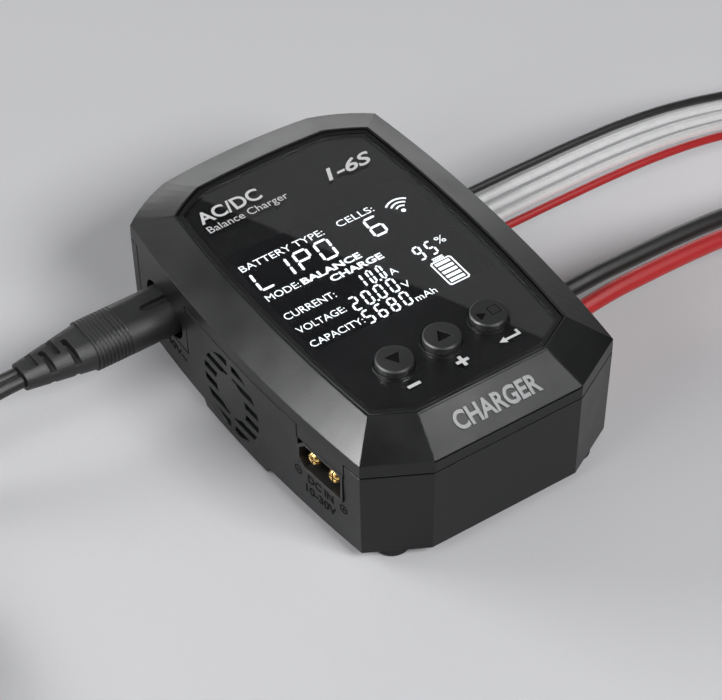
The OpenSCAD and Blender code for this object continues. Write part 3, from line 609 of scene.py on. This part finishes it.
def glass_finish(name):
    """Clear cover glass with the faint haze of fingers on it; its cut edges, whose true normal is
    level, are inked black."""
    tree, shader = new_finish(name, IOR=1.5, Transmission_Weight=1.0)
    haze = noise(tree, object_place(tree), 45, 4, 0.6)
    clear = mix_colours(tree, haze, (0.86, 0.87, 0.88, 1), (0.9, 0.9, 0.91, 1))
    true = add_node(tree, "ShaderNodeNewGeometry").outputs["True Normal"]
    rise = add_node(tree, "ShaderNodeSeparateXYZ", {0: true}).outputs["Z"]
    face = map_range(tree, combine(tree, "MULTIPLY", rise, rise), 0.2, 0.4, 0, 1)
    link_all(tree, shader.inputs, {
        "Base Color": mix_colours(tree, face, (0.001, 0.001, 0.001, 1), clear),
        "Roughness": map_range(tree, haze, 0.45, 0.75, 0.004, 0.02),
    })


def lit_finish(name, colour, strength):
    """Lit display segment: the light falls off slightly between cells of the panel."""
    tree, shader = new_finish(name, Roughness=0.5, Emission_Strength=strength)
    cells = noise(tree, object_place(tree), 900, 2)
    glow = mix_colours(tree, map_range(tree, cells, 0.2, 0.8, 0, 1), shade(colour, 0.88), colour)
    link_all(tree, shader.inputs, {"Emission Color": glow, "Base Color": glow})


def silicone(name, colour):
    """Silicone insulation: soft and dusty, with a faint ripple along the wire."""
    tree, shader = new_finish(name, Sheen_Weight=0.15, Sheen_Roughness=0.5)
    run = add_node(tree, "ShaderNodeAttribute", attribute_name="run").outputs["Fac"]
    dust = noise(tree, object_place(tree), 500, 4, 0.65)
    ripple = add_node(
        tree, "ShaderNodeTexNoise", {"W": run, "Scale": 240.0, "Detail": 2.0}, noise_dimensions="1D"
    ).outputs["Fac"]
    link_all(tree, shader.inputs, {
        "Base Color": mix_colours(tree, dust, shade(colour, 0.85), shade(colour, 1.12)),
        "Roughness": map_range(tree, dust, 0.2, 0.8, 0.38, 0.55),
        "Normal": bump(tree, combine(tree, "ADD", dust, ripple), 0.02),
    })


HOUSING = grey(0.010, 0.08)
SATIN = {"Specular_IOR_Level": 0.3}
MOULDED = {"grain": 1500, "depth": 0.02}
PRINTED = {"depth": 0.001, "radius": 0}

plastic("housing_plastic", HOUSING, 0.34, radius=0.3, **MOULDED, **SATIN)
plastic("trim_plastic", grey(0.02, 0.06), 0.34, radius=0.25, **MOULDED, **SATIN)
plastic("bezel_plastic", grey(0.012, 0.05), 0.35, radius=0.15, **SATIN)
glass_finish("display_glass")
plastic("lcd_glass", grey(0.002), 0.2, edge=1, **PRINTED)
plastic("diffuser_plastic", grey(0.7), 0.5)
board_finish("circuit_board")
plastic("chip_plastic", grey(0.015), 0.5, grain=4000)
plated("switch_metal", (0.6, 0.6, 0.6, 1), (0.35, 0.34, 0.32, 1))
plastic("button_plastic", grey(0.022, 0.05), 0.45, grain=1700, depth=0.035, radius=0.12)
plastic("plunger_plastic", (0.35, 0.07, 0.02, 1), 0.45)
plated("screw_steel", (0.35, 0.35, 0.36, 1), (0.15, 0.15, 0.15, 1), 0.3)
plastic("foot_rubber", grey(0.012), 0.75, grain=1800, depth=0.03)
plastic("insulation_film", (0.1, 0.12, 0.13, 1), 0.3, depth=0.002, radius=0)
plastic("fan_plastic", grey(0.018), 0.4)
winding_finish("copper_winding", (0.12, 0.03, 0.008, 1), (0.75, 0.3, 0.1, 1))
plastic("connector_plastic", grey(0.012), 0.4, radius=0.12)
plated("nickel_contact", (0.62, 0.6, 0.55, 1), (0.4, 0.38, 0.33, 1), 0.2)
plated("gold_contact", (0.95, 0.62, 0.2, 1), (0.6, 0.36, 0.1, 1), 0.2)
plastic("header_plastic", (0.72, 0.68, 0.56, 1), 0.45, radius=0.1, spread=0.06, edge=1.15)
plastic("ferrite", grey(0.03), 0.65, grain=1500, depth=0.04)
plastic("capacitor_sleeve", (0.012, 0.02, 0.07, 1), 0.25, depth=0.002)
plastic("fuse_ceramic", (0.6, 0.57, 0.5, 1), 0.3, spread=0.08, edge=1.1)
plated("heatsink_aluminium", (0.7, 0.7, 0.71, 1), (0.5, 0.5, 0.5, 1), 0.32)
plastic("plug_rubber", grey(0.014, 0.05), 0.5, grain=1500, depth=0.07, radius=0.3, spread=0.4)
plastic("cord_pvc", grey(0.010), 0.42, grain=1500, depth=0.03, radius=0, spread=0.4)
plastic("yellow_nylon", (0.75, 0.42, 0.02, 1), 0.42, radius=0.15, spread=0.08, edge=1.2)
weave_finish("strap_weave", grey(0.03))
silicone("wire_red", (0.55, 0.006, 0.008, 1))
silicone("wire_black", grey(0.012))
silicone("wire_white", grey(0.88))
lit_finish("segment_white", (0.95, 0.98, 1, 1), 1.1)
plastic("mask_ink", grey(0.004), 0.4, **PRINTED)
plastic("white_ink", grey(0.92), 0.5, spread=0.05, edge=1, **PRINTED)
plastic("letter_silver", grey(0.36, 0.02), 0.35, radius=0.08, spread=0.06, edge=1.2)
# dark layer that paints the shade in the keys' sunk signs, and the dark print of the wall lettering
plastic("key_shade_and_wall_print", grey(0.002), 0.7, depth=0.004, radius=0, Specular_IOR_Level=0.1)

NODE_FINISHES = {
    "housing_plastic": ["bottom_housing", "top_housing"],
    "trim_plastic": ["front_trim_plate"],
    "bezel_plastic": ["display_bezel"],
    "display_glass": ["glass_panel"],
    "lcd_glass": ["lcd_panel"],
    "diffuser_plastic": ["lcd_backlight"],
    "circuit_board": ["control_board", "power_board"],
    "chip_plastic": ["microcontroller", "power_transistors", "board_connector", "buzzer"],
    "switch_metal": ["switch_bodies"],
    "button_plastic": ["minus_button", "plus_button", "enter_button"],
    "plunger_plastic": ["minus_plunger", "plus_plunger", "enter_plunger"],
    "screw_steel": ["board_screws", "case_screws"],
    "foot_rubber": ["rubber_feet"],
    "insulation_film": ["insulation_sheet"],
    "fan_plastic": ["fan_frame", "fan_rotor"],
    "copper_winding": ["fan_stator", "transformer_winding", "line_choke", "power_inductors"],
    "connector_plastic": ["ac_inlet_body", "dc_inlet_body", "output_socket_body"],
    "nickel_contact": ["ac_inlet_pins", "balance_pins", "wall_plug_blades"],
    "gold_contact": ["dc_inlet_pins", "output_socket_pins"],
    "header_plastic": ["balance_header", "balance_plug", "balance_end_plug"],
    "ferrite": ["transformer_core"],
    "capacitor_sleeve": ["bulk_capacitor", "output_capacitors"],
    "fuse_ceramic": ["fuse"],
    "heatsink_aluminium": ["heatsink"],
    "plug_rubber": ["mains_plug", "mains_strain_relief", "wall_plug"],
    "cord_pvc": ["mains_cord", "mains_cord_coil", "mains_cord_tail"],
    "strap_weave": ["cord_tie"],
    "yellow_nylon": ["output_plug", "battery_plug"],
    "wire_white": ["output_wires", "balance_wires"],
}


def paint(made, finish):
    """Gives the piece this one finish."""
    made.data.materials.clear()
    made.data.materials.append(finishes[finish])
    return made


for finish, nodes in NODE_FINISHES.items():
    for node in nodes:
        paint(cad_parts[node], finish)
paint(mains_cord, "cord_pvc")
for colour, wire in power_wires.items():
    paint(wire, "wire_" + colour)
for wire, colour in zip(sense_wires, ("red", "white", "white", "white", "black")):
    paint(wire, "wire_" + colour)


# ---- flat shapes: lettering, segments and signs ----
# Each maker returns (points, faces): x and y in millimetres, z from 0 at the back to 1 at the face

def prism(outline):
    """Solid whose back and face are the outline, a ring of (x, y) corners."""
    ring = np.asarray(outline, float)
    count = len(ring)
    points = np.vstack([np.c_[ring, np.zeros(count)], np.c_[ring, np.ones(count)]])
    sides = grid_quads(2, count).tolist()
    return points, sides + [list(range(count))[::-1], list(range(count, 2 * count))]


def band(outer, inner):
    """Solid between two rings that have the same number of corners."""
    outer, inner = np.asarray(outer, float), np.asarray(inner, float)
    count = len(outer)
    rings = [np.c_[outer, np.zeros(count)], np.c_[outer, np.ones(count)],
             np.c_[inner, np.ones(count)], np.c_[inner, np.zeros(count)]]
    quads = grid_quads(5, count)
    return np.vstack(rings), (quads % (4 * count)).tolist()


def bar(left, right, low, high, cut=0.0):
    """Corners of a rectangle with its corners cut off."""
    if not cut:
        return [(left, low), (right, low), (right, high), (left, high)]
    return [
        (left + cut, low), (right - cut, low), (right, low + cut), (right, high - cut),
        (right - cut, high), (left + cut, high), (left, high - cut), (left, low + cut),
    ]


def arc(middle, radius, start, end, count=16):
    """Points on part of a circle, angles in degrees."""
    turn = np.radians(np.linspace(start, end, count))
    return np.asarray(middle) + radius * np.stack([np.cos(turn), np.sin(turn)], 1)


def circle(middle, radius, count):
    """Points round a whole circle."""
    return arc(middle, radius, 0, 360 - 360 / count, count)


def arc_stroke(middle, radius, width, start, end):
    """Prism of an arc of this stroke width."""
    return prism(np.vstack([
        arc(middle, radius + width / 2, start, end), arc(middle, radius - width / 2, end, start),
    ]))


def ring_stroke(middle, radius, width):
    return band(circle(middle, radius + width / 2, 32), circle(middle, radius - width / 2, 32))


def words(text, left, right, low, high, bold=0.0, lean=0.0):
    """The text in the built-in face, thickened by bold and leaned by lean, fitted to the box."""
    curve = bpy.data.curves.new("words", "FONT")
    curve.body = text
    curve.offset = bold
    curve.shear = lean
    curve.extrude = 0.5
    curve.resolution_u = 4
    points, faces = filled_curve(curve)
    lowest, highest = points.min(0), points.max(0)
    share = (points - lowest) / (highest - lowest)
    size = np.array([right - left, high - low, 1])
    return share * size + [left, low, 0], faces


SEGMENTS = {
    "0": "abcdef", "1": "bc", "2": "abged", "5": "afgcd", "6": "afgedc", "8": "abcdefg",
    "9": "abcdfg", "L": "fed", "I": "bc", "P": "abefg", "O": "abcdef",
}
CELL_SPACE = 0.24
STOP_BACK = 0.17
BAR_GAP = 0.12


def segment_text(text, left, right, low, high, stroke=0.55, lean=0.08):
    """Seven-bar characters in equal cells across the box, each bar pointed at both ends; a full
    stop sits between two cells. The whole text leans to the right. CELL_SPACE and STOP_BACK are
    shares of the height, and BAR_GAP is millimetres."""
    count = len(text.replace(".", ""))
    tall = high - low
    pitch = (right - left - lean * tall + CELL_SPACE * tall) / count
    wide = pitch - CELL_SPACE * tall
    s, gap, half = stroke / 2, BAR_GAP, tall / 2
    shapes, cell = [], 0
    for letter in text:
        start = left + cell * pitch
        if letter == ".":
            stop = start - STOP_BACK * tall
            shapes.append(prism(bar(stop, stop + stroke, low, low + stroke)))
            continue
        cell += 1
        for name in SEGMENTS[letter]:
            if name in "adg":
                y = {"a": tall - s, "d": s, "g": half}[name]
                a, b = s + gap, wide - s - gap
                ring = [(a, y), (a + s, y - s), (b - s, y - s), (b, y), (b - s, y + s), (a + s, y + s)]
            else:
                x = s if name in "ef" else wide - s
                a, b = (s + gap, half - gap) if name in "ce" else (half + gap, tall - s - gap)
                ring = [(x, a), (x + s, a + s), (x + s, b - s), (x, b), (x - s, b - s), (x - s, a + s)]
            shapes.append(prism(np.add(ring, (start, low))))
    for points, _ in shapes:
        points[:, 0] += lean * (points[:, 1] - low)
    return shapes


def plus_ring(x, y, long, thin):
    """Corners of a plus sign: arms of half length long and half width thin about (x, y)."""
    quarter = np.array([(long, -thin), (long, thin), (thin, thin)])
    turned = [quarter @ np.array([[c, s], [-s, c]]) for c, s in ((1, 0), (0, 1), (-1, 0), (0, -1))]
    return np.vstack(turned) + (x, y)


def join(shapes):
    """One (points, faces) from several."""
    points, faces, base = [], [], 0
    for some, more in shapes:
        points.append(some)
        faces += [[base + i for i in face] for face in more]
        base += len(some)
    return np.vstack(points), faces


def place_flat(name, shapes, finish, put, body="case"):
    """One piece from flat shapes, carried to their surface by put(x, y, z)."""
    points, faces = join(shapes)
    made = paint(add_mesh(name, put(*points.T), faces), finish)
    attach(made, body)
    return made


def on_level(height, thickness):
    """Puts flat shapes on a level surface."""
    return lambda x, y, z: np.stack([x, y, height + thickness * z], 1)


# ---- display ----

# half width, half length, corner cuts in x and y, bows of the sides, rear end and rear corners
RIDGE_PLAN = (27.5, 45, 9.8, 5.3, 1.9, 0.6, 0.3)


def bulge(start, end, height, steps=8):
    """Points from start to end, pushed out to the right of the way by height at the middle."""
    start, end = np.asarray(start), np.asarray(end)
    along = end - start
    out = np.array([along[1], -along[0]]) / np.linalg.norm(along)
    t = np.linspace(0, 1, steps + 1)[:, None]
    return start + along * t + out * height * 4 * t * (1 - t)


def plan_outline(plan, inset, steps=20):
    """Octagon of a plan like RIDGE_PLAN, set in all round; each bow is a parabola over its side."""
    half_x, half_y, cut_x, cut_y, side_bow, rear_bow, corner_bow = plan
    line = cut_y * half_x + cut_x * (half_y - cut_y) - math.hypot(cut_x, cut_y) * inset
    end_x = (line - cut_x * (half_y - inset)) / cut_y
    end_y = (line - cut_y * (half_x - inset)) / cut_x
    x, y = half_x - inset, half_y - inset
    right, rear_right, rear_left, left = (x, end_y), (end_x, y), (-end_x, y), (-x, end_y)
    return np.vstack([
        bulge((x, -end_y), right, side_bow, steps), bulge(right, rear_right, corner_bow)[1:],
        bulge(rear_right, rear_left, rear_bow)[1:], bulge(rear_left, left, corner_bow)[1:],
        bulge(left, (-x, -end_y), side_bow, steps)[1:], [(-end_x, -y), (end_x, -y)],
    ])


def plate(name, outline, holes, low, high):
    """Flat plate with holes between two heights, from a filled flat curve made into a mesh."""
    curve = bpy.data.curves.new(name, "CURVE")
    curve.dimensions = "2D"
    curve.fill_mode = "BOTH"
    curve.extrude = 0.5
    for ring in [outline] + holes:
        line = curve.splines.new("POLY")
        line.points.add(len(ring) - 1)
        line.points.foreach_set("co", np.c_[ring, np.zeros(len(ring)), np.ones(len(ring))].ravel())
        line.use_cyclic_u = True
    points, faces = filled_curve(curve)
    points[:, 2] = np.where(points[:, 2] > 0, high, low)
    return add_mesh(name, points, faces)


LCD_TOP = 35.2
GLASS_BOTTOM = 35.3
GLASS_TOP = 36.5
WINDOW = (-24.8, 24.7, -15.6, 21.5)
BUTTON_X = (-13, 0, 13)
BUTTON_Y = -29.5
GLASS_HOLE = 4.75
MASK_HOLE = 4.9
MASK_INSET = 2.05
EDGE_INK_INSETS = (1.9, 2.2)

key_middles = [(x, BUTTON_Y) for x in BUTTON_X]
mask_holes = [bar(*WINDOW)] + [circle(middle, MASK_HOLE, 48) for middle in key_middles]
mask_outline = plan_outline(RIDGE_PLAN, MASK_INSET)
glass_mask = plate("glass_mask", mask_outline, mask_holes, LCD_TOP + 0.03, LCD_TOP + 0.07)
paint(glass_mask, "mask_ink")
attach(glass_mask, "case")

# ink on the cut edges of the glass, round its outside and round each key
edge_bands = [band(*(plan_outline(RIDGE_PLAN, inset) for inset in EDGE_INK_INSETS))] + [
    band(circle(middle, GLASS_HOLE + 0.3, 48), circle(middle, GLASS_HOLE - 0.03, 48))
    for middle in key_middles
]
place_flat(
    "glass_edge_ink", edge_bands, "mask_ink",
    on_level(GLASS_BOTTOM + 0.02, GLASS_TOP - GLASS_BOTTOM - 0.05),
)


def battery_sign():
    """Upright battery: a frame, its cap and five bars of charge."""
    shapes = [
        band(bar(12.5, 18.3, -15.5, -6.9, 0.5), bar(12.9, 17.9, -15.1, -7.3, 0.35)),
        prism(bar(13.9, 16.9, -6.7, -6.35)), prism(bar(13.9, 16.9, -6.15, -5.8)),
    ]
    charge = [prism(bar(13.4, 17.4, low, low + 0.95)) for low in (-14.6, -13.1, -11.6, -10.1, -8.6)]
    return shapes + charge


def radio_sign():
    """Wireless link sign: a dot under three arcs."""
    middle = (18.3, 11.6)
    return [prism(circle(middle, 0.6, 16))] + [
        arc_stroke(middle, radius, 0.5, 47, 133) for radius in (1.7, 2.95, 4.2)
    ]


# words and segments are fitted to boxes given as left, right, low and high
display_shapes = [
    words("BATTERY TYPE:", -24.3, -1.4, 15.3, 17.4), words("CELLS:", 2.6, 12.7, 15.3, 17.4),
    words("MODE:", -24.6, -15.6, 3.9, 6.0), words("BALANCE", -14.9, 1.4, 3.9, 6.0, bold=0.03),
    words("CHARGE", -8.9, 5.5, 0.9, 3.0, bold=0.03),
    words("CURRENT:", -24.6, -10.8, -3.6, -1.4), words("A", 3.4, 5.4, -5.0, -2.9),
    words("VOLTAGE:", -24.6, -11.6, -8.8, -6.7), words("V", 3.4, 5.4, -10.2, -8.2),
    words("CAPACITY:", -24.6, -10.2, -14.2, -12.1), words("mAh", 3.4, 9.0, -15.4, -13.4),
    words("%", 18.3, 20.7, -2.6, -0.2),
    *segment_text("LIPO", -24.2, -1.8, 7.5, 14.3, 0.7), *segment_text("6", 7.5, 12.1, 7.5, 14.3, 0.7),
    *segment_text("10.0", -4.5, 3.0, -5.0, -0.2), *segment_text("20.00", -10.1, 3.0, -10.2, -5.4),
    *segment_text("5680", -10.0, 3.0, -15.4, -10.7), *segment_text("95", 11.5, 17.4, -5.0, -0.1),
    *battery_sign(), *radio_sign(),
]
place_flat(
    "display_graphics", display_shapes, "segment_white", on_level(LCD_TOP + 0.02, 0.04)
)

print_shapes = [
    words("AC/DC", -23.5, -6.5, 33.4, 37.5, bold=0.02),
    words("Balance Charger", -23.5, -1.5, 29.3, 32.3),
    words("1-6S", 9.4, 22.6, 29.2, 33.4, bold=0.02, lean=0.3),
    prism(bar(-14.8, -11.4, -37.75, -36.85)),
    prism(plus_ring(0.1, -37.3, 1.65, 0.45)),
    prism([
        (10.3, -37.4), (12.1, -38.4), (12.1, -37.75), (16.1, -37.75), (16.1, -35.9), (15.4, -35.9),
        (15.4, -37.05), (12.1, -37.05), (12.1, -36.4),
    ]),
]
place_flat("glass_print", print_shapes, "white_ink", on_level(GLASS_TOP, 0.02))

KEY_TOP = 38.1


def key_shapes(kind):
    """Sign sunk into the top of a key, about the middle of the key."""
    if kind == "minus":
        return [prism([(-2, 1.4), (0, -2), (2, 1.4)])]
    if kind == "plus":
        return [prism([(-2, -1.4), (2, -1.4), (0, 2)])]
    square = band(bar(0.1, 2.9, -1.4, 1.4), bar(0.5, 2.5, -1, 1))
    return [prism([(-3, -1.4), (-0.5, 0), (-3, 1.4)]), square]


# each key's sign is a thin dark layer: painted shade in the sign sunk into the key's top
for kind, middle in zip(("minus", "plus", "enter"), key_middles):
    shapes = [(points + (*middle, 0), faces) for points, faces in key_shapes(kind)]
    place_flat(
        f"{kind}_key_sign_shade", shapes, "key_shade_and_wall_print", on_level(KEY_TOP, 0.02),
        body=f"{kind}_key",
    )


# ---- lettering on the case ----

FACET_ANGLE = math.atan2(5, 10.5)
FACET_FOOT_Y = -55.5
FACET_FOOT_Z = 31.9
LETTER_DEPTH = 0.35
LETTER_SUNK = 0.05

WALL_TOP = 28.3
WALL_RISE = 25.4
WALL_LEAN = 0.75
WALL_HALF_WIDTH = 35
WALL_BOW = 2.9
WALL_HALF_LENGTH = 47.5


def on_facet(x, y, z):
    """Carries flat shapes to the sloping front plate, partly sunk in it: x across, y up the slope."""
    sine, cosine = math.sin(FACET_ANGLE), math.cos(FACET_ANGLE)
    lift = LETTER_DEPTH * z - LETTER_SUNK
    return np.stack([
        x, FACET_FOOT_Y + y * cosine - lift * sine, FACET_FOOT_Z + y * sine + lift * cosine,
    ], 1)


facet_shapes = [words("CHARGER", -11.5, 11.5, 3.3, 8.1, bold=0.03)]
place_flat("facet_lettering", facet_shapes, "letter_silver", on_facet)


def on_left_wall(x, y, z):
    """Carries flat shapes to the left wall as one faces it: x runs towards the front, y up. The
    wall bows with the square of the way to its ends and leans in towards the floor."""
    inset = WALL_LEAN * (WALL_TOP - y) / WALL_RISE
    bow = WALL_BOW * (1 - (x / WALL_HALF_LENGTH) ** 2)
    wall = -(WALL_HALF_WIDTH - inset + bow)
    return np.stack([wall - 0.04 * z + 0.01, -x, y], 1)


def polarity_mark(x, y, plus):
    """Ring with a plus or a minus sign in it."""
    long, thin = 0.62, 0.17
    sign = prism(plus_ring(x, y, long, thin) if plus else bar(x - long, x + long, y - thin, y + thin))
    return [sign, ring_stroke((x, y), 1.15, 0.34)]


wall_shapes = [
    words("DC IN", 28.9, 38.0, 11.8, 14.3, bold=0.025),
    words("10-30V", 28.0, 38.8, 8.0, 10.6, bold=0.025),
    words("100-240V~", -40.5, -21.5, 8.2, 10.6, bold=0.025),
    *polarity_mark(25.4, 13.1, False), *polarity_mark(41.5, 13.1, True),
]
place_flat("wall_lettering", wall_shapes, "key_shade_and_wall_print", on_left_wall)
